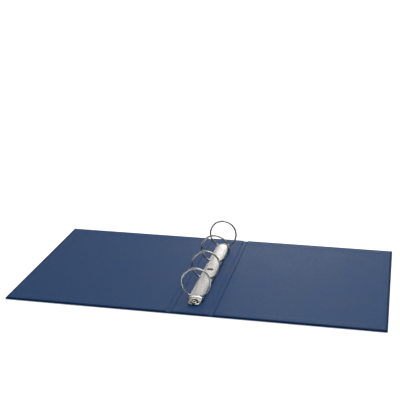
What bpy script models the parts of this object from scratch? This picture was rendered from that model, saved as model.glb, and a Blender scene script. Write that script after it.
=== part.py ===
"""Four-ring binder lying open flat, inside up.

Three covered boards (front cover, spine, back cover) meet at two grooves that
act as hinges.  A sprung metal ring mechanism is riveted to the inside of the
spine: an arched housing holds two blades by their outer edges, and each blade
carries one half of every ring.

Frame: X across the open binder (front cover at -X), Y along the spine,
Z up.  Origin on the outside face of the spine, at its centre.
Dimensions are in millimetres and are scaled to metres as meshes are made.
"""
import math

import bpy
import bmesh
from mathutils import Vector

for _ob in list(bpy.data.objects):
    bpy.data.objects.remove(_ob, do_unlink=True)

MM = 0.001

# ---- case ---------------------------------------------------------------
HALF_Y = 174.0            # half the height of the binder
AXIS_X = 34.0             # hinge lines, from the middle of the spine
AXIS_Z = 0.2              # hinge lines lie in the outer covering
COVER_REACH = 274.0       # hinge line to fore edge
CASE_T = 3.0              # thickness of a covered board
SHEET_T = 0.4             # covering and lining sheets
TURN_IN = 4.0             # strip of covering left visible inside the edges
GROOVE_SPINE = 4.9        # hinge line to the covered spine board
GROOVE_COVER = 4.9        # hinge line to a covered cover board
AXIS_GAP = 0.4            # covering stops this far from the hinge line
LINING_AXIS_GAP = 0.9     # lining stops this far from the hinge line
BOARD_CLEAR = 0.3         # board to covering, at the edges
BOARD_Z = (0.6, 2.4)
LINING_Z = (2.6, 3.0)
GROOVE_Z = (0.6, 0.95)    # lining where it lies in a groove

# ---- ring mechanism -----------------------------------------------------
RING_Y = (-120.0, -40.0, 40.0, 120.0)   # 80 mm pitch
RING_RX = 24.0            # wire centre line, half width
RING_RZ = 24.7            # wire centre line, half height
RING_TOP = 57.5           # wire centre line at the apex
RING_ZC = RING_TOP - RING_RZ
WIRE_R = 1.6
TIP_GAP = 0.15
BEND_X = 10.2             # the wire leaves the ring's curve here
FOOT_X = 7.0              # the wire goes down into the blade here
FOOT_Z = 6.25
TENON_R = 1.1
FOOT_HOLE_R = 1.4
HEAD_R = 1.6

HOUSE_HALF_L = 142.5      # 285 mm housing
HOUSE_W = 12.0            # half width
HOUSE_TOP = 11.2
TONGUE_W = 10.2
WINDOW_X, WINDOW_Y0, WINDOW_Y1 = 5.0, -7.4, 0.4   # punched window near the middle
HOUSE_T = 0.9
HOUSE_FULL = 121.0        # the full section runs this far from the middle
TONGUE_FROM = 132.0       # and is down to the flat tongue here
NOTCH_X = 6.4
NOTCH_Z = 8.0
NOTCH_HALF = 2.4
RIVET_Y = 135.0
RIVET_SHANK_R = 2.2
RIVET_HEAD_R = 5.0

PIVOT_X = 10.6            # a blade's outer edge, held in the housing's lip
PIVOT_Z = 5.7
BLADE_LEN = 10.3
BLADE_T = 1.0
BLADE_HALF_L = 124.0
BLADE_TILT = math.radians(5.25)   # closed blades dip towards the middle


# ---- helpers ------------------------------------------------------------
def material(name, colour, roughness, metallic=0.0):
    mat = bpy.data.materials.new(name)
    mat.use_nodes = True
    bsdf = mat.node_tree.nodes["Principled BSDF"]
    bsdf.inputs["Base Color"].default_value = (*colour, 1.0)
    bsdf.inputs["Roughness"].default_value = roughness
    bsdf.inputs["Metallic"].default_value = metallic
    mat.diffuse_color = (*colour, 1.0)
    return mat


COVERING = material("navy_covering", (0.003, 0.026, 0.115), 0.42)
LINING = material("navy_lining", (0.010, 0.034, 0.115), 0.50)
BOARD = material("grey_board", (0.34, 0.31, 0.27), 0.90)
NICKEL = material("nickel_plate", (0.72, 0.70, 0.66), 0.22, 1.0)
WIRE = material("nickel_wire", (0.70, 0.69, 0.67), 0.14, 1.0)


def make_object(name, bm, mat, pivot=(0.0, 0.0, 0.0), smooth=False):
    """Turn a bmesh in millimetres, in world position, into an object in metres
    whose origin is at pivot."""
    bmesh.ops.translate(bm, verts=bm.verts, vec=-Vector(pivot))
    bmesh.ops.scale(bm, verts=bm.verts, vec=(MM, MM, MM))
    bmesh.ops.recalc_face_normals(bm, faces=bm.faces)
    if bm.calc_volume(signed=True) < 0.0:
        bmesh.ops.reverse_faces(bm, faces=bm.faces)
    mesh = bpy.data.meshes.new(name)
    bm.to_mesh(mesh)
    bm.free()
    if smooth:
        mesh.shade_smooth()
        mesh.set_sharp_from_angle(angle=math.radians(35))
    ob = bpy.data.objects.new(name, mesh)
    if mat is not None:
        mesh.materials.append(mat)
    ob.location = Vector(pivot) * MM
    bpy.context.scene.collection.objects.link(ob)
    return ob


def add_box(bm, x0, x1, y0, y1, z0, z1):
    made = bmesh.ops.create_cube(bm, size=1.0)["verts"]
    bmesh.ops.scale(bm, verts=made, vec=(x1 - x0, y1 - y0, z1 - z0))
    bmesh.ops.translate(bm, verts=made,
                        vec=((x0 + x1) / 2, (y0 + y1) / 2, (z0 + z1) / 2))
    return made


def add_cylinder(bm, x, y, r, z0, z1, seg=24):
    made = bmesh.ops.create_cone(bm, cap_ends=True, segments=seg, radius1=r,
                                 radius2=r, depth=z1 - z0)["verts"]
    bmesh.ops.translate(bm, verts=made, vec=(x, y, (z0 + z1) / 2))
    return made


def add_prism_y(bm, profile, y0, y1):
    """Extrude a closed XZ profile along Y."""
    verts = [bm.verts.new((x, y0, z)) for x, z in profile]
    face = bm.faces.new(verts)
    grown = bmesh.ops.extrude_face_region(bm, geom=[face])["geom"]
    moved = [g for g in grown if isinstance(g, bmesh.types.BMVert)]
    bmesh.ops.translate(bm, verts=moved, vec=(0, y1 - y0, 0))


def cutter(name, bm):
    ob = make_object(name, bm, None)
    ob.hide_render = True
    ob.display_type = "WIRE"
    return ob


def cut(ob, *tools):
    for tool in tools:
        mod = ob.modifiers.new("cut_" + tool.name, "BOOLEAN")
        mod.operation = "DIFFERENCE"
        mod.solver = "EXACT"
        mod.object = tool


def smoothstep(v):
    v = min(1.0, max(0.0, v))
    return v * v * (3.0 - 2.0 * v)


# ---- case: covering, board and lining of each panel -----------------------
def covering(name, x_free, x_axis, x_board, pivot):
    """A sheet folded round three edges of a cover board and turned in.
    x_free is the fore edge, x_axis where the sheet stops at the hinge line and
    x_board the board's edge at the groove."""
    s = 1.0 if x_free > 0 else -1.0

    def span(a, b):
        return (min(a, b), max(a, b))

    bm = bmesh.new()
    add_box(bm, *span(x_free, x_axis), -HALF_Y, HALF_Y, 0.0, CASE_T)
    ob = make_object(name, bm, COVERING, pivot)
    groove = bmesh.new()
    add_box(groove, *span(x_board, x_axis - s * 1.0), -HALF_Y - 1, HALF_Y + 1,
            SHEET_T, CASE_T + 1)
    cavity = bmesh.new()
    add_box(cavity, *span(x_free - s * SHEET_T, x_board - s * 0.6),
            -HALF_Y + SHEET_T, HALF_Y - SHEET_T, SHEET_T, LINING_Z[0])
    window = bmesh.new()
    add_box(window, *span(x_free - s * TURN_IN, x_board - s * 0.8),
            -HALF_Y + TURN_IN, HALF_Y - TURN_IN, LINING_Z[0] - 0.1, CASE_T + 1)
    cut(ob, cutter(name + "_groove_cut", groove),
        cutter(name + "_board_cut", cavity),
        cutter(name + "_window_cut", window))
    return ob


def lining_profile(s, x_free, x_board):
    """Lining of a cover: flat on the board, then down into the groove."""
    g = AXIS_X + LINING_AXIS_GAP
    top, low = LINING_Z[1], LINING_Z[0]
    pts = [(x_free, top), (x_board + 0.5, top), (x_board - 1.6, GROOVE_Z[1]),
           (g, GROOVE_Z[1]), (g, GROOVE_Z[0]), (x_board - 1.8, GROOVE_Z[0]),
           (x_board + 0.3, low), (x_free, low)]
    return [(s * x, z) for x, z in pts]


def cover(prefix, s):
    pivot = (s * AXIS_X, 0.0, AXIS_Z)
    x_free = AXIS_X + COVER_REACH
    x_board = AXIS_X + GROOVE_COVER
    covering(prefix + "_covering", s * x_free, s * (AXIS_X + AXIS_GAP),
             s * x_board, pivot)
    bm = bmesh.new()
    xs = sorted((s * (x_board + BOARD_CLEAR),
                 s * (x_free - SHEET_T - BOARD_CLEAR)))
    edge = HALF_Y - SHEET_T - BOARD_CLEAR
    add_box(bm, xs[0], xs[1], -edge, edge, *BOARD_Z)
    make_object(prefix + "_board", bm, BOARD, pivot)
    bm = bmesh.new()
    add_prism_y(bm, lining_profile(s, x_free - TURN_IN - 0.3, x_board),
                -HALF_Y + TURN_IN + 0.3, HALF_Y - TURN_IN - 0.3)
    make_object(prefix + "_lining", bm, LINING, pivot)


cover("front_cover", -1.0)
cover("back_cover", 1.0)


def rivet_holes(name, r, z0, z1):
    bm = bmesh.new()
    for sy in (-1, 1):
        add_cylinder(bm, 0.0, sy * RIVET_Y, r, z0, z1)
    return cutter(name, bm)


def spine():
    x_axis = AXIS_X - AXIS_GAP
    x_board = AXIS_X - GROOVE_SPINE
    bm = bmesh.new()
    add_box(bm, -x_axis, x_axis, -HALF_Y, HALF_Y, 0.0, CASE_T)
    ob = make_object("spine_covering", bm, COVERING)
    grooves = bmesh.new()
    for s in (-1, 1):
        xs = sorted((s * x_board, s * (x_axis + 1.0)))
        add_box(grooves, xs[0], xs[1], -HALF_Y - 1, HALF_Y + 1, SHEET_T,
                CASE_T + 1)
    cavity = bmesh.new()
    add_box(cavity, -x_board - 0.6, x_board + 0.6, -HALF_Y + SHEET_T,
            HALF_Y - SHEET_T, SHEET_T, LINING_Z[0])
    window = bmesh.new()
    add_box(window, -x_board - 0.8, x_board + 0.8, -HALF_Y + TURN_IN,
            HALF_Y - TURN_IN, LINING_Z[0] - 0.1, CASE_T + 1)
    cut(ob, cutter("spine_groove_cut", grooves),
        cutter("spine_board_cut", cavity), cutter("spine_window_cut", window),
        rivet_holes("spine_covering_rivet_cut", RIVET_HEAD_R + 0.4, -1.0, 0.5))

    bm = bmesh.new()
    edge = HALF_Y - SHEET_T - BOARD_CLEAR
    add_box(bm, -x_board + BOARD_CLEAR, x_board - BOARD_CLEAR, -edge, edge,
            *BOARD_Z)
    ob = make_object("spine_board", bm, BOARD)
    cut(ob, rivet_holes("spine_board_head_cut", RIVET_HEAD_R + 0.4, 0.0, 1.4),
        rivet_holes("spine_board_shank_cut", RIVET_SHANK_R + 0.3, 1.0, 3.0))

    g = AXIS_X - LINING_AXIS_GAP
    half = [(g, GROOVE_Z[0]), (g, GROOVE_Z[1]), (x_board + 1.6, GROOVE_Z[1]),
            (x_board - 0.5, LINING_Z[1])]
    under = [(x_board - 0.3, LINING_Z[0]), (x_board + 1.8, GROOVE_Z[0])]
    profile = half + [(-x, z) for x, z in reversed(half)]
    profile += [(-x, z) for x, z in reversed(under)] + under
    bm = bmesh.new()
    add_prism_y(bm, profile, -HALF_Y + TURN_IN + 0.3, HALF_Y - TURN_IN - 0.3)
    ob = make_object("spine_lining", bm, LINING)
    cut(ob, rivet_holes("spine_lining_rivet_cut", RIVET_SHANK_R + 0.3, 2.0,
                        4.0))


spine()


# ---- rivets ---------------------------------------------------------------
def turned(name, profile, y, mat, seg=28):
    """Spin a closed (r, z) profile about the vertical line through (0, y)."""
    bm = bmesh.new()
    on_axis = profile[0][0] == 0.0
    rings = []
    for r, z in profile:
        if r == 0.0:
            rings.append([bm.verts.new((0.0, y, z))])
        else:
            rings.append([bm.verts.new((r * math.cos(2 * math.pi * k / seg),
                                        y + r * math.sin(2 * math.pi * k / seg),
                                        z)) for k in range(seg)])
    pairs = list(zip(rings, rings[1:]))
    if not on_axis:
        pairs.append((rings[-1], rings[0]))
    for a, b in pairs:
        for k in range(seg):
            k2 = (k + 1) % seg
            if len(a) == 1:
                bm.faces.new((a[0], b[k], b[k2]))
            elif len(b) == 1:
                bm.faces.new((a[k], b[0], a[k2]))
            else:
                bm.faces.new((a[k], b[k], b[k2], a[k2]))
    return make_object(name, bm, mat, smooth=True)


def dome(r, z_edge, z_top, steps=5):
    """Points of a low dome from its rim to its crown."""
    return [(r * math.cos(a), z_edge + (z_top - z_edge) * math.sin(a))
            for a in (math.pi / 2 * i / steps for i in range(steps))] + \
           [(0.0, z_top)]


for label, sy in (("front", -1), ("rear", 1)):
    head = [(0.0, 6.5), (RIVET_SHANK_R - 0.3, 6.5), (RIVET_SHANK_R, 6.2),
            (RIVET_SHANK_R, 1.1), (RIVET_HEAD_R, 1.1)]
    turned("rivet_" + label, head + dome(RIVET_HEAD_R, 0.9, 0.05),
           sy * RIVET_Y, NICKEL)
    inner, outer = RIVET_SHANK_R + 0.25, 4.3
    collar = [(inner, 5.8), (outer, 5.8), (outer, 6.1)]
    steps = 4
    collar += [(inner + (outer - inner) * math.cos(math.pi / 2 * i / steps),
                6.1 + 0.9 * math.sin(math.pi / 2 * i / steps))
               for i in range(1, steps + 1)]
    turned("rivet_collar_" + label, collar, sy * RIVET_Y, NICKEL)


# ---- housing ----------------------------------------------------------------
def housing_section(y):
    """Closed C-shaped section of the housing at this distance along it."""
    d = abs(y)
    s = smoothstep((d - HOUSE_FULL) / (TONGUE_FROM - HOUSE_FULL))
    zb = 4.0 - 0.7 * s
    zs = 7.8 - 3.3 * s
    ht = HOUSE_TOP - (HOUSE_TOP - 5.5) * s
    lip = 2.0 - 1.7 * smoothstep((d - HOUSE_FULL) / 4.0)
    w = HOUSE_W - (HOUSE_W - TONGUE_W) * smoothstep((d - HOUSE_FULL) / 9.0)
    if d > 131.0:
        w *= (1.0 - ((d - 131.0) / 11.6) ** 3.4) ** 0.42
    t = HOUSE_T
    steps = 8
    q = 2.0 / (2.6 - 0.6 * s)         # a flatter top than an ellipse's

    def arch(i, half, rise):
        a = math.pi / 2 * i / steps
        return (half * math.cos(a) ** q if i < steps else 0.0,
                zs + rise * math.sin(a) ** q)

    outer = [(w - t - lip, zb), (w - 0.35, zb), (w, zb + 0.35), (w, zs)]
    outer += [arch(i, w, ht - zs) for i in range(1, steps + 1)]
    inner = [arch(i, w - t, ht - t - zs) for i in range(steps, 0, -1)]
    inner += [(w - t, zs), (w - t, zb + t * (1 - 0.45 * s)),
              (w - t - lip, zb + t * (1 - 0.45 * s))]
    left_outer = [(-x, z) for x, z in reversed(outer[:-1])]
    left_inner = [(-x, z) for x, z in reversed(inner[1:])]
    return outer + left_outer + left_inner + inner


def housing():
    ends = [HOUSE_FULL + 1.9 * i for i in range(9)]
    ends += [138.0, 139.6, 140.8, 141.7, HOUSE_HALF_L]
    ys = [-d for d in reversed(ends)] + ends
    bm = bmesh.new()
    rings = []
    for y in ys:
        rings.append([bm.verts.new((x, y, z)) for x, z in housing_section(y)])
    n = len(rings[0])
    for a, b in zip(rings, rings[1:]):
        for k in range(n):
            bm.faces.new((a[k], a[(k + 1) % n], b[(k + 1) % n], b[k]))
    bm.faces.new(rings[0])
    bm.faces.new(rings[-1])
    ob = make_object("ring_housing", bm, NICKEL, smooth=True)

    notches = bmesh.new()
    for y in RING_Y:
        for s in (-1, 1):
            xs = sorted((s * NOTCH_X, s * (HOUSE_W + 2)))
            add_box(notches, xs[0], xs[1], y - NOTCH_HALF, y + NOTCH_HALF,
                    NOTCH_Z, 16.0)
    window = bmesh.new()
    add_box(window, -WINDOW_X, WINDOW_X, WINDOW_Y0, WINDOW_Y1, 9.0, 16.0)
    cut(ob, cutter("housing_notch_cut", notches),
        cutter("housing_window_cut", window),
        rivet_holes("housing_rivet_cut", RIVET_SHANK_R + 0.3, 2.0, 8.0))


housing()


# ---- blades -------------------------------------------------------------
def blade(name, s):
    """A strip from the lip to the middle, dipping by BLADE_TILT.  Fingers on
    its inner edge pass between those of the other blade."""
    pivot = (s * PIVOT_X, 0.0, PIVOT_Z)
    reach, step, half = 1.0, 40.0, 5.0
    inner = [(-BLADE_HALF_L, BLADE_LEN)]
    for i in range(-3, 4):
        y = i * step
        own = (i % 2 == 0) == (s < 0)
        r = BLADE_LEN + (reach if own else -reach)
        w = half if own else half + 0.6
        inner += [(y - w, BLADE_LEN), (y - w, r), (y + w, r),
                  (y + w, BLADE_LEN)]
    inner.append((BLADE_HALF_L, BLADE_LEN))
    outline = [(d, y) for y, d in inner]
    outline += [(0.0, BLADE_HALF_L), (0.0, -BLADE_HALF_L)]
    foot = (PIVOT_X - FOOT_X) / math.cos(BLADE_TILT)
    loops = [outline]
    for y in RING_Y:
        loops.append([(foot + FOOT_HOLE_R * math.cos(2 * math.pi * k / 16),
                       y + FOOT_HOLE_R * math.sin(2 * math.pi * k / 16))
                      for k in range(16)])
    bm = bmesh.new()
    edges = []
    for loop in loops:
        verts = [bm.verts.new((d, y, -BLADE_T / 2)) for d, y in loop]
        edges += [bm.edges.new((a, b))
                  for a, b in zip(verts, verts[1:] + verts[:1])]
    bmesh.ops.triangle_fill(bm, edges=edges, use_beauty=True,
                            normal=(0.0, 0.0, 1.0))
    grown = bmesh.ops.extrude_face_region(bm, geom=bm.faces[:])["geom"]
    bmesh.ops.translate(bm, vec=(0, 0, BLADE_T),
                        verts=[g for g in grown
                               if isinstance(g, bmesh.types.BMVert)])
    ca, sa = math.cos(BLADE_TILT), math.sin(BLADE_TILT)
    for v in bm.verts:
        d, z = v.co.x, v.co.z
        v.co.x = s * (PIVOT_X - (d * ca + z * sa))
        v.co.z = PIVOT_Z - d * sa + z * ca
    return make_object(name, bm, NICKEL, pivot)


blade("left_blade", -1.0)
blade("right_blade", 1.0)


# ---- ring halves ----------------------------------------------------------
def ring_path():
    """Centre line and radius of one half ring, on the +X side, from its tip at
    the apex to the riveted foot under the blade."""
    a0 = math.asin(TIP_GAP / RING_RX)
    a1 = math.pi - math.asin(BEND_X / RING_RX)
    steps = 22
    out = [(RING_RX * math.sin(a), RING_ZC + RING_RZ * math.cos(a), WIRE_R)
           for a in (a0 + (a1 - a0) * i / steps for i in range(steps + 1))]
    x0, z0, _ = out[-1]
    slope = (RING_RZ / RING_RX) * (x0 / RING_RX) / \
        math.sqrt(1 - (x0 / RING_RX) ** 2)
    xc, zc = FOOT_X, z0 - slope * (x0 - FOOT_X)
    for i in range(1, 7):
        t = i / 6
        x = (1 - t) ** 2 * x0 + 2 * t * (1 - t) * xc + t * t * FOOT_X
        z = (1 - t) ** 2 * z0 + 2 * t * (1 - t) * zc + t * t * FOOT_Z
        out.append((x, z, WIRE_R))
    out += [(FOOT_X, FOOT_Z, TENON_R), (FOOT_X, 4.6, TENON_R),
            (FOOT_X, 4.6, HEAD_R), (FOOT_X, 3.95, HEAD_R)]
    return out


def ring_half(name, s, y, seg=12):
    path = ring_path()
    bm = bmesh.new()
    rings = []
    for i, (x, z, r) in enumerate(path):
        # the direction of the wire, from the neighbours that differ from it
        j, k = i, i
        while j > 0 and (path[j][0], path[j][1]) == (x, z):
            j -= 1
        while k < len(path) - 1 and (path[k][0], path[k][1]) == (x, z):
            k += 1
        if i == 0:
            tx, tz = 1.0, 0.0
        elif x == FOOT_X:
            tx, tz = 0.0, -1.0
        else:
            tx, tz = path[k][0] - path[j][0], path[k][1] - path[j][1]
        length = math.hypot(tx, tz)
        nx, nz = -tz / length, tx / length
        ring = []
        for m in range(seg):
            a = 2 * math.pi * (m + 0.5) / seg
            ring.append(bm.verts.new((s * (x + r * math.cos(a) * nx),
                                      y + r * math.sin(a),
                                      z + r * math.cos(a) * nz)))
        rings.append(ring)
    for a, b in zip(rings, rings[1:]):
        for k in range(seg):
            k2 = (k + 1) % seg
            bm.faces.new((a[k], a[k2], b[k2], b[k]))
    bm.faces.new(rings[0])
    bm.faces.new(rings[-1])
    return make_object(name, bm, WIRE, (s * PIVOT_X, 0.0, PIVOT_Z),
                       smooth=True)


for number, ring_y in enumerate(RING_Y, start=1):
    ring_half("left_ring_half_%d" % number, -1.0, ring_y)
    ring_half("right_ring_half_%d" % number, 1.0, ring_y)
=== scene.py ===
"""Looks of the ring binder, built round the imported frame. Lengths are in millimetres and become metres as each mesh is made."""
import math

import bpy
import bmesh
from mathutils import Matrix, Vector


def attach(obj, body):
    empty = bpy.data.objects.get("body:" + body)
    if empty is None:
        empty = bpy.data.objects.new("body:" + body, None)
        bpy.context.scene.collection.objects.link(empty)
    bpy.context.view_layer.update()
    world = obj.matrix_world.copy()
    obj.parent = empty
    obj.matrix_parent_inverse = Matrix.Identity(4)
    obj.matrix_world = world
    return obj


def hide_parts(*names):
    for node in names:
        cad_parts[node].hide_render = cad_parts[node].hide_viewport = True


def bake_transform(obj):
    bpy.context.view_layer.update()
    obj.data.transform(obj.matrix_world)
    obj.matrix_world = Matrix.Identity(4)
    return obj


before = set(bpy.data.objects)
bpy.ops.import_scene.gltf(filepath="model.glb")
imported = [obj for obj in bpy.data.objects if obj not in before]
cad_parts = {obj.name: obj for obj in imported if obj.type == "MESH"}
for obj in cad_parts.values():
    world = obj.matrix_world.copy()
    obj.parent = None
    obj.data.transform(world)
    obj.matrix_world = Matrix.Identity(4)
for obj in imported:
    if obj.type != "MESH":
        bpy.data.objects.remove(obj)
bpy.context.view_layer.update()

MM = 0.001
scene = bpy.context.scene

# ---- camera, light, floor ---------------------------------------------------
cam_data = bpy.data.cameras.new("camera")
cam_data.lens = 86.18
cam_data.sensor_width = 36.0
cam = bpy.data.objects.new("camera", cam_data)
cam.location = (0.3014, -1.5223, 0.6309)
cam.rotation_euler = (math.radians(90 - 17.682), 0.0, math.radians(11.875))
scene.collection.objects.link(cam)
scene.camera = cam
scene.view_settings.view_transform = "Standard"


class Nodes:
    """Short way to write a node tree."""

    def __init__(self, tree):
        self.tree = tree

    def add(self, kind, inputs=None, **props):
        node = self.tree.nodes.new(kind)
        for k, v in props.items():
            setattr(node, k, v)
        for k, v in (inputs or {}).items():
            socket = node.inputs[k]
            if isinstance(v, bpy.types.NodeSocket):
                self.tree.links.new(v, socket)
            else:
                socket.default_value = v
        return node

    def math(self, op, a, b=0.0, c=0.0):
        return self.add("ShaderNodeMath", {0: a, 1: b, 2: c}, operation=op).outputs[0]

    def ramp(self, value, stops, interpolation="LINEAR"):
        node = self.add("ShaderNodeValToRGB", {"Fac": value})
        node.color_ramp.interpolation = interpolation
        els = node.color_ramp.elements
        while len(els) < len(stops):
            els.new(0.5)
        for e, (p, c) in zip(els, stops):
            e.position = p
            e.color = (c, c, c, 1.0) if isinstance(c, float) else (*c, 1.0)
        return node.outputs["Color"]

    def mix(self, fac, a, b, blend="MIX"):
        node = self.add("ShaderNodeMix", data_type="RGBA", blend_type=blend)
        for socket, v in ((node.inputs[0], fac), (node.inputs[6], a), (node.inputs[7], b)):
            if isinstance(v, bpy.types.NodeSocket):
                self.tree.links.new(v, socket)
            elif isinstance(v, tuple):
                socket.default_value = (*v, 1.0)
            else:
                socket.default_value = v
        return node.outputs[2]


def studio():
    world = bpy.data.worlds.new("studio")
    scene.world = world
    world.use_nodes = True
    tree = world.node_tree
    tree.nodes.clear()
    n = Nodes(tree)
    co = n.add("ShaderNodeTexCoord").outputs["Generated"]
    xyz = n.add("ShaderNodeSeparateXYZ", {0: co}).outputs
    back = n.math("MULTIPLY_ADD", xyz["Y"], 0.5, 0.5)
    wall = n.ramp(back, [(0.0, 0.05), (0.45, 0.08), (0.70, 0.26), (0.90, 0.75), (1.0, 1.0)])
    height = n.math("MULTIPLY_ADD", xyz["Z"], 0.5, 0.5)
    band = n.ramp(height, [(0.0, 0.25), (0.42, 0.6), (0.50, 0.9), (0.63, 0.95), (0.685, 0.45), (0.74, 0.16), (1.0, 0.18)])
    wall = n.mix(1.0, wall, band, "MULTIPLY")
    side = n.ramp(n.math("MULTIPLY_ADD", xyz["X"], 0.5, 0.5), [(0.0, 0.16), (0.28, 0.22), (0.37, 0.50), (0.42, 1.0), (0.46, 1.0), (0.50, 0.62), (0.56, 0.38), (0.85, 0.34)])
    wall = n.mix(1.0, n.mix(1.0, wall, side, "MULTIPLY"), (1.75, 1.75, 1.78), "MULTIPLY")
    left = n.ramp(n.math("MULTIPLY_ADD", xyz["X"], -0.5, 0.5), [(0.0, 0.10), (0.5, 0.08), (0.85, 0.14), (1.0, 0.18)])
    low = n.ramp(n.math("MULTIPLY", xyz["Z"], -1.0), [(0.0, 0.0), (0.15, 0.0), (0.6, 0.75)])
    light = n.mix(1.0, n.mix(1.0, wall, left, "ADD"), low, "ADD")
    seen = n.add("ShaderNodeLightPath").outputs["Is Camera Ray"]
    bg = n.add("ShaderNodeBackground", {"Color": n.mix(seen, light, (1.0, 1.0, 1.0)), "Strength": 1.0})
    out = n.add("ShaderNodeOutputWorld")
    tree.links.new(bg.outputs[0], out.inputs["Surface"])

    def area(name, place, target, size, power):
        data = bpy.data.lights.new(name, "AREA")
        data.shape = "RECTANGLE"
        data.size, data.size_y = size
        data.energy = power
        ob = bpy.data.objects.new(name, data)
        ob.location = place
        ob.rotation_euler = (Vector(target) - Vector(place)).to_track_quat("-Z", "Y").to_euler()
        scene.collection.objects.link(ob)
        ob.visible_camera = False

    area("key", (0.55, 0.40, 2.10), (0.0, 0.0, 0.0), (2.0, 2.0), 46.0)
    area("fill", (-0.85, 0.5, 2.2), (0.0, 0.0, 0.0), (2.2, 2.2), 17.0)
    area("back", (0.02, 1.25, 0.30), (0.06, 0.1, 0.0), (0.50, 0.34), 0.45)

    mat = bpy.data.materials.new("floor")
    mat.use_nodes = True
    tree = mat.node_tree
    tree.nodes.clear()
    n = Nodes(tree)
    co = n.add("ShaderNodeTexCoord").outputs["Object"]
    speck = n.add("ShaderNodeTexNoise", {"Vector": co, "Scale": 40.0, "Detail": 3.0}).outputs["Fac"]
    away = n.add("ShaderNodeVectorMath", {0: co}, operation="LENGTH").outputs["Value"]
    glow = n.ramp(n.math("MULTIPLY", away, 0.2), [(0.08, 0.30), (0.30, 0.75), (0.60, 1.0)])
    bounced = n.add("ShaderNodeLightPath").outputs["Is Diffuse Ray"]
    paper = n.add("ShaderNodeBsdfPrincipled", {
        "Base Color": n.ramp(speck, [(0.3, 0.86), (0.7, 0.90)]), "Roughness": 0.9,
        "Emission Color": n.mix(bounced, glow, (0.85, 0.85, 0.86)),
        "Emission Strength": 1.0})
    clear = n.add("ShaderNodeBsdfTransparent")
    under = n.add("ShaderNodeNewGeometry").outputs["Backfacing"]
    both = n.add("ShaderNodeMixShader", {0: under, 1: paper.outputs[0], 2: clear.outputs[0]})
    out = n.add("ShaderNodeOutputMaterial")
    tree.links.new(both.outputs[0], out.inputs["Surface"])
    mesh = bpy.data.meshes.new("floor")
    r, steps = 6.0, 64
    ring = [(r * math.cos(2 * math.pi * k / steps), r * math.sin(2 * math.pi * k / steps), -0.0004)
            for k in range(steps)]
    mesh.from_pydata([(0.0, 0.0, -0.0004)] + ring, [],
                     [(0, k + 1, (k + 1) % steps + 1) for k in range(steps)])
    mesh.materials.append(mat)
    floor = bpy.data.objects.new("floor", mesh)
    scene.collection.objects.link(floor)


studio()


# ---- materials -----------------------------------------------------------
def rest_coordinates(n):
    """Where a point was with the binder open, from the mesh's own attribute."""
    return n.add("ShaderNodeAttribute", attribute_name="rest_co").outputs["Vector"]


def navy(name, base, light, rough, level):
    """Plastic-coated paper with a fine embossed leather grain. The edge attribute is 1 on the folded edges: there the
    colour is painted darker, painted shade standing in for the sheen the rim loses, and lighter in mottled spots, real
    rubbing.
    """
    mat = bpy.data.materials.new(name)
    mat.use_nodes = True
    tree = mat.node_tree
    tree.nodes.clear()
    n = Nodes(tree)
    co = rest_coordinates(n)
    wear = n.add("ShaderNodeAttribute", attribute_name="wear").outputs["Fac"]
    bend = n.add("ShaderNodeTexNoise", {"Vector": co, "Scale": 520.0, "Detail": 2.0})
    warped = n.add("ShaderNodeVectorMath", {0: bend.outputs["Color"], 1: (0.0010, 0.0010, 0.0010)}, operation="MULTIPLY").outputs[0]
    warped = n.add("ShaderNodeVectorMath", {0: co, 1: warped}, operation="ADD").outputs[0]
    cells = n.add("ShaderNodeTexVoronoi", {"Vector": warped, "Scale": 900.0, "Randomness": 0.9},
                  feature="DISTANCE_TO_EDGE").outputs["Distance"]
    pebble = n.ramp(cells, [(0.0, 0.0), (0.10, 0.55), (0.32, 1.0)], "EASE")
    fine = n.add("ShaderNodeTexNoise", {"Vector": co, "Scale": 2600.0, "Detail": 3.0, "Roughness": 0.6}).outputs["Fac"]
    mottle = n.add("ShaderNodeTexNoise", {"Vector": co, "Scale": 240.0, "Detail": 4.0, "Roughness": 0.6}).outputs["Fac"]
    cloud = n.add("ShaderNodeTexNoise", {"Vector": co, "Scale": 14.0, "Detail": 3.0}).outputs["Fac"]
    height = n.math("ADD", n.math("MULTIPLY", pebble, 0.75), n.math("MULTIPLY", fine, 0.35))
    height = n.math("ADD", height, n.math("MULTIPLY", mottle, 0.9))
    bump = n.add("ShaderNodeBump", {"Height": height, "Strength": 0.55, "Distance": 0.00011})
    tone = n.math("ADD", n.math("MULTIPLY", mottle, 0.55), n.math("MULTIPLY", cloud, 0.45))
    tone = n.math("ADD", tone, n.math("MULTIPLY", n.math("SUBTRACT", pebble, 0.8), 0.35))
    colour = n.mix(n.ramp(tone, [(0.30, 0.0), (0.72, 1.0)]), base, light)
    rubbed = n.math("MULTIPLY", wear, n.ramp(mottle, [(0.55, 0.0), (0.70, 1.0)]))
    # painted shade: the folded rim is painted dark navy by the edge attribute, standing in for the sheen it loses; the
    # next line rubs it lighter in spots, real wear
    colour = n.mix(n.math("MULTIPLY", wear, 0.85), colour, (0.0008, 0.0085, 0.0360))
    colour = n.mix(n.math("MULTIPLY", rubbed, 0.30), colour, (0.030, 0.062, 0.150))
    gloss = n.math("ADD", rough, n.math("MULTIPLY", n.math("SUBTRACT", mottle, 0.5), 0.22))
    gloss = n.math("ADD", gloss, n.math("MULTIPLY", n.math("SUBTRACT", 1.0, pebble), 0.10))
    gloss = n.math("ADD", gloss, n.math("MULTIPLY", n.math("SUBTRACT", cloud, 0.5), 0.10))
    gloss = n.math("ADD", gloss, n.math("MULTIPLY", wear, 0.25))
    bsdf = n.add("ShaderNodeBsdfPrincipled", {
        "Base Color": colour, "Roughness": gloss, "Normal": bump.outputs[0],
        "Specular IOR Level": n.math("MULTIPLY_ADD", wear, -0.85 * level, level), "Specular Tint": (0.40, 0.88, 1.0, 1.0), "IOR": 1.5})
    out = n.add("ShaderNodeOutputMaterial")
    tree.links.new(bsdf.outputs[0], out.inputs["Surface"])
    return mat


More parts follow.
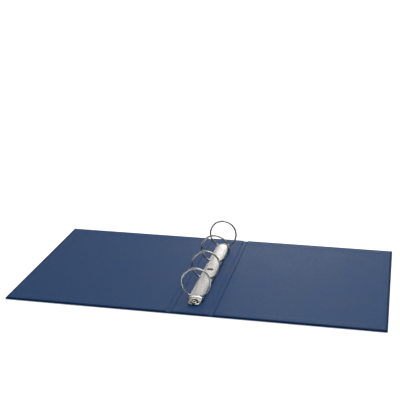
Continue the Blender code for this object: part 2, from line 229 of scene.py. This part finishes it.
def nickel(name, base, rough, along, brushed=0.0, stain=0.10, relief=0.00002):
    """Nickel plate: slight clouding, fine drawing lines along one axis, dust-fine pits and a few scratches."""
    mat = bpy.data.materials.new(name)
    mat.use_nodes = True
    tree = mat.node_tree
    tree.nodes.clear()
    n = Nodes(tree)
    co = rest_coordinates(n) if along is not None else n.add("ShaderNodeTexCoord").outputs["Object"]
    stretch = {"x": (60.0, 2400.0, 2400.0), "y": (2400.0, 60.0, 2400.0), None: (900.0, 900.0, 900.0)}[along]
    lines = n.add("ShaderNodeTexNoise", {"Vector": n.add("ShaderNodeVectorMath", {0: co, 1: stretch}, operation="MULTIPLY").outputs[0],
                                         "Scale": 1.0, "Detail": 4.0, "Roughness": 0.65}).outputs["Fac"]
    cloud = n.add("ShaderNodeTexNoise", {"Vector": co, "Scale": 95.0, "Detail": 4.0, "Roughness": 0.55}).outputs["Fac"]
    pits = n.add("ShaderNodeTexVoronoi", {"Vector": co, "Scale": 520.0}).outputs["Distance"]
    pit = n.ramp(pits, [(0.04, 0.0), (0.12, 1.0)])
    scratch = n.add("ShaderNodeTexWave", {"Vector": co, "Scale": 85.0, "Distortion": 14.0, "Detail": 3.0, "Detail Scale": 2.2},
                    bands_direction="DIAGONAL").outputs["Fac"]
    scratch = n.ramp(scratch, [(0.975, 0.0), (0.995, 1.0)])
    colour = n.mix(n.math("MULTIPLY", n.ramp(cloud, [(0.40, 0.0), (0.72, 1.0)]), stain), base,
                   tuple(c * k for c, k in zip(base, (0.62, 0.60, 0.55))))
    colour = n.mix(n.math("MULTIPLY", n.math("SUBTRACT", 1.0, pit), 0.35), colour, tuple(c * 0.5 for c in base))
    gloss = n.math("ADD", rough, n.math("MULTIPLY", n.math("SUBTRACT", cloud, 0.45), 0.16))
    gloss = n.math("ADD", gloss, n.math("MULTIPLY", scratch, 0.12))
    gloss = n.math("ADD", gloss, n.math("MULTIPLY", n.math("SUBTRACT", lines, 0.5), 0.10 + brushed))
    height = n.math("ADD", n.math("MULTIPLY", lines, 0.5 + brushed * 4), n.math("MULTIPLY", pit, 0.25))
    height = n.math("SUBTRACT", height, n.math("MULTIPLY", scratch, 0.4))
    bump = n.add("ShaderNodeBump", {"Height": height, "Strength": 0.25, "Distance": relief})
    if along is not None:
        # painted shade: where the recess attribute is 1 the colour goes near black, shade painted into the dish, slope,
        # window walls, low side walls and rivet hole
        shade_mask = n.add("ShaderNodeAttribute", attribute_name="recess").outputs["Fac"]
        colour = n.mix(n.math("MULTIPLY", shade_mask, n.ramp(cloud, [(0.25, 0.90), (0.70, 1.0)])), colour, (0.018, 0.017, 0.015))
        gloss = n.math("ADD", gloss, n.math("MULTIPLY", shade_mask, 0.25))
    bsdf = n.add("ShaderNodeBsdfPrincipled", {
        "Base Color": colour, "Metallic": 1.0, "Roughness": gloss, "Normal": bump.outputs[0]})
    out = n.add("ShaderNodeOutputMaterial")
    tree.links.new(bsdf.outputs[0], out.inputs["Surface"])
    return mat


def grey_board():
    mat = bpy.data.materials.new("grey_board_fibres")
    mat.use_nodes = True
    tree = mat.node_tree
    tree.nodes.clear()
    n = Nodes(tree)
    co = n.add("ShaderNodeTexCoord").outputs["Object"]
    fibre = n.add("ShaderNodeTexNoise", {"Vector": n.add("ShaderNodeVectorMath", {0: co, 1: (500.0, 160.0, 900.0)}, operation="MULTIPLY").outputs[0],
                                         "Scale": 1.0, "Detail": 6.0, "Roughness": 0.7, "Distortion": 0.8}).outputs["Fac"]
    ply = n.add("ShaderNodeTexWave", {"Vector": co, "Scale": 900.0, "Distortion": 1.5}, bands_direction="Z").outputs["Fac"]
    tone = n.math("ADD", n.math("MULTIPLY", fibre, 0.8), n.math("MULTIPLY", ply, 0.2))
    colour = n.ramp(tone, [(0.25, (0.17, 0.15, 0.13)), (0.55, (0.33, 0.30, 0.26)), (0.8, (0.46, 0.43, 0.38))])
    bump = n.add("ShaderNodeBump", {"Height": fibre, "Strength": 0.5, "Distance": 0.00015})
    bsdf = n.add("ShaderNodeBsdfPrincipled", {
        "Base Color": colour, "Roughness": n.ramp(fibre, [(0.2, 0.82), (0.8, 0.96)]), "Normal": bump.outputs[0]})
    out = n.add("ShaderNodeOutputMaterial")
    tree.links.new(bsdf.outputs[0], out.inputs["Surface"])
    return mat


COVERING = navy("navy_covering_grain", (0.0008, 0.0230, 0.0960), (0.0030, 0.0345, 0.1390), 0.40, 0.27)
LINING = navy("navy_lining_grain", (0.0009, 0.0245, 0.0980), (0.0031, 0.0365, 0.1420), 0.41, 0.27)
PLATE = nickel("nickel_plate_drawn", (0.80, 0.78, 0.74), 0.25, "y", 0.03, 0.22)
WIRE = nickel("nickel_wire_polished", (0.44, 0.435, 0.44), 0.24, "x", 0.0, 0.25, 0.000004)
RIVET = nickel("nickel_rivet", (0.70, 0.69, 0.66), 0.17, "x", 0.0, 0.15)
BLADE = nickel("nickel_blade", (0.66, 0.65, 0.62), 0.28, None, 0.0, 0.20)
BOARD = grey_board()


# ---- mesh building ---------------------------------------------------------
def smoothstep(v):
    v = min(1.0, max(0.0, v))
    return v * v * (3.0 - 2.0 * v)


def between(a, b, n):
    return [a + (b - a) * i / n for i in range(n + 1)]


class Maker:
    """Collects points and faces in millimetres. Points in the same place are one point."""

    def __init__(self):
        self.index, self.points, self.faces = {}, [], []

    def p(self, x, y, z):
        key = (round(x, 4), round(y, 4), round(z, 4))
        if key not in self.index:
            self.index[key] = len(self.points)
            self.points.append((x, y, z))
        return self.index[key]

    def f(self, *ids):
        out = []
        for i in ids:
            if not out or out[-1] != i:
                out.append(i)
        if len(out) > 1 and out[0] == out[-1]:
            out.pop()
        if len(out) >= 3 and len(set(out)) == len(out):
            self.faces.append(out)

    def strip(self, a, b, closed=False):
        """Quads between two rows of points."""
        count = len(a)
        for k in range(count if closed else count - 1):
            j = (k + 1) % count
            self.f(a[k], a[j], b[j], b[k])

    def build(self, name, mat, sharp=32.0, wear=None, recess=None):
        mesh = bpy.data.meshes.new(name)
        mesh.from_pydata([(x * MM, y * MM, z * MM) for x, y, z in self.points], [], self.faces)
        return dress(mesh, name, mat, sharp, wear, recess)


def dress(mesh, name, mat, sharp=32.0, wear=None, recess=None):
    bm = bmesh.new()
    bm.from_mesh(mesh)
    bmesh.ops.recalc_face_normals(bm, faces=bm.faces)
    if bm.calc_volume(signed=True) < 0.0:
        bmesh.ops.reverse_faces(bm, faces=bm.faces)
    bm.to_mesh(mesh)
    bm.free()
    mesh.shade_smooth()
    if sharp is not None:
        mesh.set_sharp_from_angle(angle=math.radians(sharp))
    keep = mesh.attributes.new("rest_co", "FLOAT_VECTOR", "POINT")
    keep.data.foreach_set("vector", [c for v in mesh.vertices for c in v.co])
    # edge mask: painted shade on the covering's rim together with real rubbing
    if wear is not None:
        rim_shade_rub_layer = mesh.attributes.new("wear", "FLOAT", "POINT")
        rim_shade_rub_layer.data.foreach_set("value", [wear(v.co.x / MM, v.co.y / MM, v.co.z / MM) for v in mesh.vertices])
    # recess mask: painted shade, darker colour where shade falls on the metal parts
    if recess is not None:
        painted_shade = mesh.attributes.new("recess", "FLOAT", "POINT")
        painted_shade.data.foreach_set("value", [recess(v.co.x / MM, v.co.y / MM, v.co.z / MM) for v in mesh.vertices])
    ob = bpy.data.objects.new(name, mesh)
    mesh.materials.clear()
    mesh.materials.append(mat)
    scene.collection.objects.link(ob)
    return ob


# ---- case -----------------------------------------------------------------
HALF_Y = 174.0
REACH = 308.0
AXIS_X = 34.0
SEAM = 31.6               # covering and lining of cover and spine meet here
TURN = 4.0                # strip of covering seen inside the edges
LAP = 6.5                 # the turned-in strip runs this far, under the lining
INNER = 8.0               # the flat of the bottom sheet starts this far in
FLOOR_Z, BOARD_TOP = 1.4, 3.0
PLAN_R = 1.3
RIVET_Y = 135.0


def top_z(u):
    """Height of the lining at this distance from the middle of the spine."""
    t = (u - 36.4) / 3.6 if u > AXIS_X else (31.6 - u) / 3.6
    groove = 1.0 - smoothstep(t)
    ridge = 0.10 * math.exp(-((u - AXIS_X) / 1.1) ** 2)   # the sheet stands up slightly along the fold
    return BOARD_TOP - (BOARD_TOP - FLOOR_Z - ridge) * groove


def under_z(u):
    """Outside of the case: a faint pressed line at each fold."""
    d = abs(u - AXIS_X)
    return 0.13 * smoothstep((4.6 - d) / 2.2)


def sheet_z(u):
    h = top_z(u) - 0.20
    return under_z(u) + min(0.40, 0.42 * (h - under_z(u)))


def lip_profile(u):
    """(distance in from the edge, height) round the turned-in edge, outside then back along the inside."""
    low, high = under_z(u), top_z(u) - 0.20
    h = high - low
    t = min(0.36, 0.42 * h)
    rb, rt = min(0.95, 0.32 * h), min(1.05, 0.36 * h)
    pts = [(INNER, low), (INNER * 0.5, low)]
    for i in range(7):
        a = math.pi / 2 * i / 6
        pts.append((rb - rb * math.sin(a), low + rb - rb * math.cos(a)))
    for i in range(8):
        a = math.pi / 2 * i / 7
        pts.append((rt - rt * math.cos(a), high - rt + rt * math.sin(a)))
    pts += [(TURN - 0.4, high), (LAP, high), (LAP, high - t)]
    top_in, low_in = high - t, sheet_z(u)
    ri = min(0.4, 0.4 * (top_in - low_in))
    w = 0.4
    for i in range(4):
        a = math.pi / 2 * i / 3
        pts.append((w + ri - ri * math.sin(a), top_in - ri + ri * math.cos(a)))
    for i in range(4):
        a = math.pi / 2 * i / 3
        pts.append((w + ri - ri * math.cos(a), low_in + ri - ri * math.sin(a)))
    pts.append((INNER, low_in))
    return pts


def fold_lines():
    """Stations across the groove, close together where it bends."""
    return between(SEAM, 36.4, 16) + between(36.4, 40.0, 12)[1:] + [41.0, 43.0, 46.0]


# Edge mask: 1 on the turned-in strip and along the outer edge, where the covering gets a painted darker rim (painted
# shade) and lighter rubbed spots (wear).
def rim_darkening_and_rubbing(x, y, z):
    d = min(HALF_Y - abs(y), REACH - abs(x))
    return 0.70 * smoothstep((TURN + 0.3 - d) / 1.4) * smoothstep(z) + 0.30 * smoothstep((1.8 - d) / 1.4)


def cover_covering(name, s):
    m = Maker()
    us = fold_lines() + between(50.0, 290.0, 24) + [REACH - INNER - 5.0, REACH - INNER]
    y_in = HALF_Y - INNER
    ys = between(-y_in, y_in, 32)
    outer = [[m.p(s * u, y, under_z(u)) for y in ys] for u in us]
    inner = [[m.p(s * u, y, sheet_z(u)) for y in ys] for u in us]
    for grid in (outer, inner):
        for a, b in zip(grid, grid[1:]):
            m.strip(a, b)
    rows = [[m.p(s * u, -(HALF_Y - d), z) for d, z in lip_profile(u)] for u in us]
    high = lip_profile(REACH)
    for side in (-1, 1):
        for i in range(7):
            a = math.pi / 2 * i / 6
            if side > 0:
                a = math.pi / 2 - a
            row = []
            for d, z in high:
                r = max(PLAN_R - d, 0.0)
                c = max(PLAN_R, d)
                row.append(m.p(s * (REACH - c + r * math.sin(a)), side * (HALF_Y - c + r * math.cos(a)), z))
            rows.append(row)
        if side < 0:
            rows += [[m.p(s * (REACH - d), y, z) for d, z in high] for y in ys]
    rows += [[m.p(s * u, HALF_Y - d, z) for d, z in lip_profile(u)] for u in reversed(us)]
    for a, b in zip(rows, rows[1:]):
        m.strip(a, b)
    m.f(*rows[0])
    m.f(*rows[-1])
    m.strip(outer[0], inner[0])
    return m.build(name, COVERING, 40.0, rim_darkening_and_rubbing)


def polar_patch(m, cx, cy, half, side, radii, z_of, x_of=None):
    """A square of points about (cx, cy) with side spans to an edge, turning into circles. Returns the innermost circle."""
    edge = []
    step = 2.0 * half / side
    for k in range(side):
        edge.append((-half + step * k, -half))
    for k in range(side):
        edge.append((half, -half + step * k))
    for k in range(side):
        edge.append((half - step * k, half))
    for k in range(side):
        edge.append((-half, half - step * k))
    prev = [m.p(cx + x, cy + y, z_of(cx + x, cy + y)) for x, y in edge]
    for r in radii:
        ring = []
        for x, y in edge:
            q = math.hypot(x, y)
            ring.append(m.p(cx + x / q * r, cy + y / q * r, z_of(cx + x / q * r, cy + y / q * r)))
        m.strip(prev, ring, True)
        prev = ring
    return prev


def spine_sheet_z(x, y):
    """Outside of the spine, drawn in a little round each rivet."""
    r = math.hypot(x, abs(y) - RIVET_Y)
    return under_z(abs(x)) + 0.17 * smoothstep((8.5 - r) / 2.6) + 0.55 * smoothstep((5.75 - r) / 0.55)


def spine_grid(m, xs, ys, z_of, half, side):
    """A grid over the spine with a square left out round each rivet."""
    grid = [[None if abs(x) < half - 1e-6 and abs(abs(y) - RIVET_Y) < half - 1e-6 else m.p(x, y, z_of(x, y))
             for y in ys] for x in xs]
    for i in range(len(xs) - 1):
        for j in range(len(ys) - 1):
            mx, my = (xs[i] + xs[i + 1]) / 2, (ys[j] + ys[j + 1]) / 2
            if abs(mx) < half and abs(abs(my) - RIVET_Y) < half:
                continue
            m.f(grid[i][j], grid[i + 1][j], grid[i + 1][j + 1], grid[i][j + 1])
    return grid


def spine_stations():
    half = [0.0, 2.5, 5.0, 7.5, 10.0, 14.0, 18.0, 22.0, 25.0, 27.0] + between(28.0, SEAM, 12)
    return [-x for x in reversed(half[1:])] + half


def spine_rows(edge):
    mid = [-145.0 + 2.5 * k for k in range(9)]
    near = [-edge] + [y for y in (-160.0, -152.0) if y > -edge] + mid
    rest = between(-125.0, 125.0, 25)[1:-1]
    return near + rest + [-y for y in reversed(near)]


def spine_covering():
    m = Maker()
    xs, ys = spine_stations(), spine_rows(HALF_Y - INNER)
    outer = spine_grid(m, xs, ys, spine_sheet_z, 10.0, 8)

    def in_z(x, y):
        r = math.hypot(x, abs(y) - RIVET_Y)
        return sheet_z(abs(x)) + 0.72 * smoothstep((5.75 - r) / 0.55)

    inner = spine_grid(m, xs, ys, in_z, 10.0, 8)
    radii = [8.6, 7.6, 6.8, 6.1, 5.8, 5.65, 5.5, 5.35, 5.2, 4.6, 2.6]
    for cy in (-RIVET_Y, RIVET_Y):
        a = polar_patch(m, 0.0, cy, 10.0, 8, radii, spine_sheet_z)
        b = polar_patch(m, 0.0, cy, 10.0, 8, radii, in_z)
        m.strip(a, b, True)
    for side in (-1, 1):
        rows = [[m.p(x, side * (HALF_Y - d), z) for d, z in lip_profile(abs(x))] for x in xs]
        for a, b in zip(rows, rows[1:]):
            m.strip(a, b)
        m.f(*rows[0])
        m.f(*rows[-1])
    m.strip(outer[0], inner[0])
    m.strip(outer[-1], inner[-1])
    return m.build("spine_covering_skin", COVERING, 40.0, rim_darkening_and_rubbing)


def lining_z(u, y, fore):
    """The lining lies 0.12 mm lower where no turned-in strip is under it, and is never quite flat."""
    d = min(HALF_Y - abs(y), (REACH - u) if fore else 1e3)
    groove = smoothstep((u - 36.4) / 3.6) if u > AXIS_X else smoothstep((31.6 - u) / 3.6)
    step = 0.13 * smoothstep((d - 16.4) / 1.6) * groove
    swell = 0.035 * groove * (math.sin(u * 0.043 + y * 0.021 + 1.0) + math.sin(u * 0.017 - y * 0.037 + 0.4) - 2.0) \
        * smoothstep((d - 6.0) / 30.0)
    return top_z(u) - step + swell


def lining_rows():
    ends = [170.0, 169.88, 169.7, 168.0, 163.0, 158.4, 158.0, 157.6, 157.2, 156.8, 156.4, 156.0, 155.6, 155.2, 150.0]
    return [-y for y in ends] + between(-140.0, 140.0, 28) + list(reversed(ends))


def lining_sheet(m, cols, ys, z_of, skip=None):
    """A thin sheet over the grid, its free edges rolled down. cols are (signed x, True at a free edge)."""
    def edge_drop(i, j):
        if ys[j] in (ys[0], ys[-1]) or cols[i][1]:
            return 0.09
        return 0.0

    top = [[m.p(x, y, z_of(x, y) - edge_drop(i, j)) for j, y in enumerate(ys)] for i, (x, _) in enumerate(cols)]
    low = [[m.p(x, y, z_of(x, y) - 0.17) for y in ys] for x, _ in cols]
    for grid in (top, low):
        for i in range(len(cols) - 1):
            for j in range(len(ys) - 1):
                if skip and skip((cols[i][0] + cols[i + 1][0]) / 2, (ys[j] + ys[j + 1]) / 2):
                    continue
                m.f(grid[i][j], grid[i + 1][j], grid[i + 1][j + 1], grid[i][j + 1])
    m.strip(top[0], low[0])
    m.strip(top[-1], low[-1])
    m.strip([r[0] for r in top], [r[0] for r in low])
    m.strip([r[-1] for r in top], [r[-1] for r in low])


def cover_lining(name, s):
    m = Maker()
    us = fold_lines() + between(50.0, 280.0, 23)
    us += [286.0, 289.2, 289.6, 290.0, 290.4, 290.8, 291.2, 291.6, 292.0, 292.4, 297.0, 302.0, 303.7, 303.88, 304.0]
    cols = [(s * u, u == 304.0) for u in us]
    lining_sheet(m, cols, lining_rows(), lambda x, y: lining_z(abs(x), y, True))
    return m.build(name, LINING, 60.0, lambda x, y, z: 0.0)


def spine_lining():
    m = Maker()
    xs = spine_stations()
    ys = [-170.0, -169.88, -169.7, -168.0, -163.0, -158.4, -157.6, -157.0, -156.4, -155.6, -150.0] \
        + [-145.0 + 2.5 * k for k in range(9)]
    ys = ys + between(-125.0, 125.0, 25)[1:-1] + [-y for y in reversed(ys)]

    def z_of(x, y):
        return lining_z(abs(x), y, False)

    def skip(x, y):
        return abs(x) < 5.0 and abs(abs(y) - RIVET_Y) < 5.0

    lining_sheet(m, [(x, False) for x in xs], ys, z_of, skip)
    radii = [4.4, 3.4, 2.6]
    for cy in (-RIVET_Y, RIVET_Y):
        a = polar_patch(m, 0.0, cy, 5.0, 4, radii, z_of)
        b = polar_patch(m, 0.0, cy, 5.0, 4, radii, lambda x, y: z_of(x, y) - 0.17)
        m.strip(a, b, True)
    return m.build("spine_lining_skin", LINING, 60.0, lambda x, y, z: 0.0)


for prefix, s in (("front_cover", -1.0), ("back_cover", 1.0)):
    skin = cover_covering(prefix + "_covering_skin", s)
    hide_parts(prefix + "_covering")
    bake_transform(skin)
    sheet = cover_lining(prefix + "_lining_skin", s)
    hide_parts(prefix + "_lining")
    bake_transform(sheet)
    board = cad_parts[prefix + "_board"]
    for slot in board.material_slots:
        slot.material = BOARD

skin = spine_covering()
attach(skin, "spine")
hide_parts("spine_covering")
sheet = spine_lining()
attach(sheet, "spine")
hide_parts("spine_lining")
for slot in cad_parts["spine_board"].material_slots:
    slot.material = BOARD
for node in ("left_blade", "right_blade"):
    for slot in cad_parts[node].material_slots:
        slot.material = BLADE


# ---- rivets -----------------------------------------------------------------
def turned(name, profile, y, mat, seg=64, closed=False, sharp=50.0):
    m = Maker()
    rings = []
    for r, z in profile:
        rings.append([m.p(r * math.cos(2 * math.pi * k / seg), y + r * math.sin(2 * math.pi * k / seg), z)
                      for k in range(seg)])
    for a, b in zip(rings, rings[1:]):
        m.strip(a, b, True)
    if closed:
        m.strip(rings[-1], rings[0], True)
    # turned pieces get painted shade round the rivet's hollow middle, from the function below
    return m.build(name, mat, sharp, None, hole_shade)


def hole_shade(x, y, z):
    """Painted shade: the middle of the rolled end, down in the tubular hole, is painted dark."""
    r = math.hypot(x, abs(y) - RIVET_Y)
    return (1.0 - smoothstep((r - 2.3) / 0.5)) if z > 3.0 else 0.0


def rivets():
    for label, sy in (("front", -1), ("rear", 1)):
        y = sy * RIVET_Y
        # tubular shank with a drilled end, flanged head with a low dome and a rounded rim
        pts = [(0.0, 3.6), (1.25, 3.6), (1.25, 5.9), (1.4, 6.15), (1.75, 6.28), (2.05, 6.15), (2.15, 5.8), (2.15, 1.32), (2.4, 1.12),
               (4.55, 1.10), (4.82, 1.02), (4.97, 0.88), (5.0, 0.74), (4.93, 0.62)]
        for i in range(1, 13):
            a = math.pi / 2 * i / 12
            pts.append((4.93 * math.cos(a), 0.62 - 0.56 * math.sin(a)))
        rivet = turned("rivet_%s_turned" % label, pts, y, RIVET)
        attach(rivet, "spine")
        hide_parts("rivet_" + label)
        # the end rolled over the plate: a fat ring with a hollow middle
        pts = [(2.3, 5.62), (4.1, 5.62), (4.28, 5.70)]
        for i in range(0, 11):
            a = math.pi * i / 10
            pts.append((3.32 + 0.98 * math.cos(a), 5.95 + 1.02 * math.sin(a)))
        pts.append((2.3, 5.8))
        collar = turned("rivet_collar_%s_rolled" % label, pts, y, RIVET, closed=True)
        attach(collar, "spine")
        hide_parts("rivet_collar_" + label)


rivets()


# ---- housing ------------------------------------------------------------------
HOUSE_W, HOUSE_TOP, TONGUE_W, HOUSE_T, HOUSE_FULL, TONGUE_FROM = 12.0, 11.2, 10.2, 0.9, 121.0, 132.0
RING_Y = (-120.0, -40.0, 40.0, 120.0)


def housing_section(y, arch=22):
    d = abs(y)
    s = smoothstep((d - HOUSE_FULL) / (TONGUE_FROM - HOUSE_FULL))
    zb = 4.0 - 0.7 * s
    zs = 7.8 - 3.3 * s
    ht = HOUSE_TOP - (HOUSE_TOP - 5.5) * s
    lip = 2.0 - 1.7 * smoothstep((d - HOUSE_FULL) / 4.0)
    w = HOUSE_W - (HOUSE_W - TONGUE_W) * smoothstep((d - HOUSE_FULL) / 9.0)
    if d > 131.0:
        w *= max(0.0, 1.0 - ((d - 131.0) / 11.6) ** 3.4) ** 0.42
    t = HOUSE_T
    q = 2.0 / (2.6 - 0.6 * s)

    def dish(x, z):
        """The tongue is pressed down round the rivet and its rim stands up."""
        r = math.hypot(x, d - RIVET_Y)
        inside = 1.0 - smoothstep((r - 6.3) / 1.4)
        rim = smoothstep((r - 6.3) / 1.4) * (1.0 - smoothstep((r - 8.6) / 3.0))
        return z + (0.85 * rim - 0.35 * inside) * smoothstep((d - 125.0) / 4.0)

    def arch_point(i, half, rise):
        a = math.pi / 2 * i / arch
        x = half * math.cos(a) ** q if i < arch else 0.0
        z = zs + rise * math.sin(a) ** q
        return (x, dish(x, z)) if half - abs(x) > 0.4 else (x, z)

    outer = [(w - t - lip, zb), (w - 0.40, zb), (w - 0.20, zb + 0.06), (w - 0.06, zb + 0.20), (w, zb + 0.40), (w, zs)]
    outer += [arch_point(i, w, ht - zs) for i in range(1, arch + 1)]
    inner = [arch_point(i, w - t, ht - t - zs) for i in range(arch, 0, -1)]
    inner += [(w - t, zs), (w - t, zb + t * (1 - 0.45 * s)), (w - t - lip, zb + t * (1 - 0.45 * s))]
    left_outer = [(-x, z) for x, z in reversed(outer[:-1])]
    left_inner = [(-x, z) for x, z in reversed(inner[1:])]
    return outer + left_outer + left_inner + inner


def rounded_prism(cx, cy, hx, hy, r, z0, z1, name, steps=6):
    m = Maker()
    loop = []
    for sx, sy, a0 in ((1, 1, 0), (-1, 1, 90), (-1, -1, 180), (1, -1, 270)):
        for i in range(steps + 1):
            a = math.radians(a0 + 90.0 * i / steps)
            loop.append((cx + sx * (hx - r) + r * math.cos(a), cy + sy * (hy - r) + r * math.sin(a)))
    low = [m.p(x, y, z0) for x, y in loop]
    high = [m.p(x, y, z1) for x, y in loop]
    m.strip(low, high, True)
    m.f(*low)
    m.f(*high)
    return m.build(name, PLATE, None)


def housing():
    ends = between(HOUSE_FULL, 140.0, 38) + [140.5, 141.0, 141.4, 141.75, 142.05, 142.3, 142.5]
    ys = [-d for d in reversed(ends)] + between(-HOUSE_FULL, HOUSE_FULL, 22)[1:-1] + ends
    m = Maker()
    rings = [[m.p(x, y, z) for x, z in housing_section(y)] for y in ys]
    for a, b in zip(rings, rings[1:]):
        m.strip(a, b, True)
    m.f(*rings[0])
    m.f(*rings[-1])
    ob = m.build("ring_housing_pressed", PLATE, None)
    tools = []
    for i, y in enumerate(RING_Y):
        for s in (-1, 1):
            tools.append(rounded_prism(s * 11.4, y, 5.0, 2.4, 1.5, 8.0, 16.0, "notch_cut_%d_%d" % (i, s)))
    tools.append(rounded_prism(0.0, -3.5, 5.0, 3.9, 0.5, 9.0, 16.0, "window_cut"))
    for s in (-1, 1):
        tools.append(rounded_prism(0.0, s * RIVET_Y, 2.35, 2.35, 2.34, 2.0, 9.0, "rivet_cut_%d" % s))
    for tool in tools:
        mod = ob.modifiers.new("cut", "BOOLEAN")
        mod.operation = "DIFFERENCE"
        mod.solver = "EXACT"
        mod.object = tool
    bpy.context.view_layer.update()
    graph = bpy.context.evaluated_depsgraph_get()
    mesh = bpy.data.meshes.new_from_object(ob.evaluated_get(graph))
    for o in tools + [ob]:
        bpy.data.objects.remove(o, do_unlink=True)
    for a in ("rest_co", "wear"):
        if a in mesh.attributes:
            mesh.attributes.remove(mesh.attributes[a])
    mesh.materials.clear()

    def painted_shade(x, y, z):
        """Painted shade where shade falls: darker colour in the dish round each rivet, on the tongue's slope, on the
        cut walls of the window, and on the low side walls.
        """
        r = math.hypot(x, abs(y) - RIVET_Y)
        dish = (1.0 - smoothstep((r - 7.1) / 0.9)) * smoothstep((r - 3.4) / 0.8)
        slope = 0.70 * smoothstep((abs(y) - 121.5) / 3.0) * (1.0 - smoothstep((abs(y) - 131.0) / 3.0))
        inner = 0.8 * smoothstep((HOUSE_TOP - 0.35 - z) / 0.3) if abs(x) < 7.0 and abs(y + 3.5) < 6.0 else 0.0
        side = 0.75 * (1.0 - smoothstep((z - 6.6) / 1.6)) if abs(x) > 11.0 and abs(y) < 124.0 else 0.0
        return max(dish, inner, side, slope)

    return dress(mesh, "ring_housing_plate", PLATE, 38.0, None, painted_shade)


plate = housing()
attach(plate, "spine")
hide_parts("ring_housing")


# ---- rings ------------------------------------------------------------------
RING_RX, RING_RZ, RING_TOP, WIRE_R = 24.0, 24.7, 57.5, 1.6
RING_ZC = RING_TOP - RING_RZ
BEND_X, FOOT_X, FOOT_Z = 10.2, 7.0, 6.25


def ring_path():
    a0 = math.asin(0.12 / RING_RX)
    a1 = math.pi - math.asin(BEND_X / RING_RX)
    steps = 60
    out = [(RING_RX * math.sin(a), RING_ZC + RING_RZ * math.cos(a)) for a in between(a0, a1, steps)]
    x0, z0 = out[-1]
    slope = (RING_RZ / RING_RX) * (x0 / RING_RX) / math.sqrt(1 - (x0 / RING_RX) ** 2)
    xc, zc = FOOT_X, z0 - slope * (x0 - FOOT_X)
    for i in range(1, 15):
        t = i / 14
        out.append(((1 - t) ** 2 * x0 + 2 * t * (1 - t) * xc + t * t * FOOT_X,
                    (1 - t) ** 2 * z0 + 2 * t * (1 - t) * zc + t * t * FOOT_Z))
    return out


def ring_half(name, s, y, seg=28):
    """One wire half: a cone on the left tip enters a recess in the right tip, and the foot is riveted under the blade."""
    path = ring_path()
    m = Maker()
    tx, tz = path[0]
    stations = []               # (x, z, radius, direction x, direction z)
    if s < 0:
        stations += [(tx - 1.10, tz, 0.0, 1.0, 0.0), (tx - 1.10, tz, 0.28, 1.0, 0.0), (tx - 0.95, tz, 0.45, 1.0, 0.0),
                     (tx, tz, 0.95, 1.0, 0.0), (tx, tz, 1.36, 1.0, 0.0), (tx + 0.07, tz, 1.48, 1.0, 0.0)]
    else:
        stations += [(tx + 1.35, tz, 0.0, 1.0, 0.0), (tx + 1.35, tz, 0.60, 1.0, 0.0), (tx, tz, 1.12, 1.0, 0.0),
                     (tx, tz, 1.36, 1.0, 0.0), (tx + 0.07, tz, 1.48, 1.0, 0.0)]
    for i, (x, z) in enumerate(path):
        if i == 0:
            x, z = path[0][0] + 0.22, path[0][1]
            d = (1.0, 0.0)
        elif i == len(path) - 1:
            d = (0.0, -1.0)
        else:
            d = (path[i + 1][0] - path[i - 1][0], path[i + 1][1] - path[i - 1][1])
        q = math.hypot(*d)
        stations.append((x, z, WIRE_R, d[0] / q, d[1] / q))
    stations += [(FOOT_X, FOOT_Z, 1.1, 0.0, -1.0), (FOOT_X, 4.62, 1.1, 0.0, -1.0), (FOOT_X, 4.62, 1.52, 0.0, -1.0), (FOOT_X, 4.45, 1.6, 0.0, -1.0),
                 (FOOT_X, 4.2, 1.52, 0.0, -1.0), (FOOT_X, 4.0, 1.15, 0.0, -1.0), (FOOT_X, 3.95, 0.0, 0.0, -1.0)]
    prev = None
    for x, z, r, dx, dz in stations:
        nx, nz = -dz, dx
        ring = []
        for k in range(seg):
            a = 2 * math.pi * (k + 0.5) / seg
            ring.append(m.p(s * (x + r * math.cos(a) * nx), y + r * math.sin(a), z + r * math.cos(a) * nz))
        if prev:
            m.strip(prev, ring, True)
        prev = ring
    return m.build(name, WIRE, 48.0)


for number, ring_y in enumerate(RING_Y, start=1):
    for side, s in (("left", -1.0), ("right", 1.0)):
        wire = ring_half("%s_ring_wire_%d" % (side, number), s, ring_y)
        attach(wire, side + "_rings")
        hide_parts("%s_ring_half_%d" % (side, number))
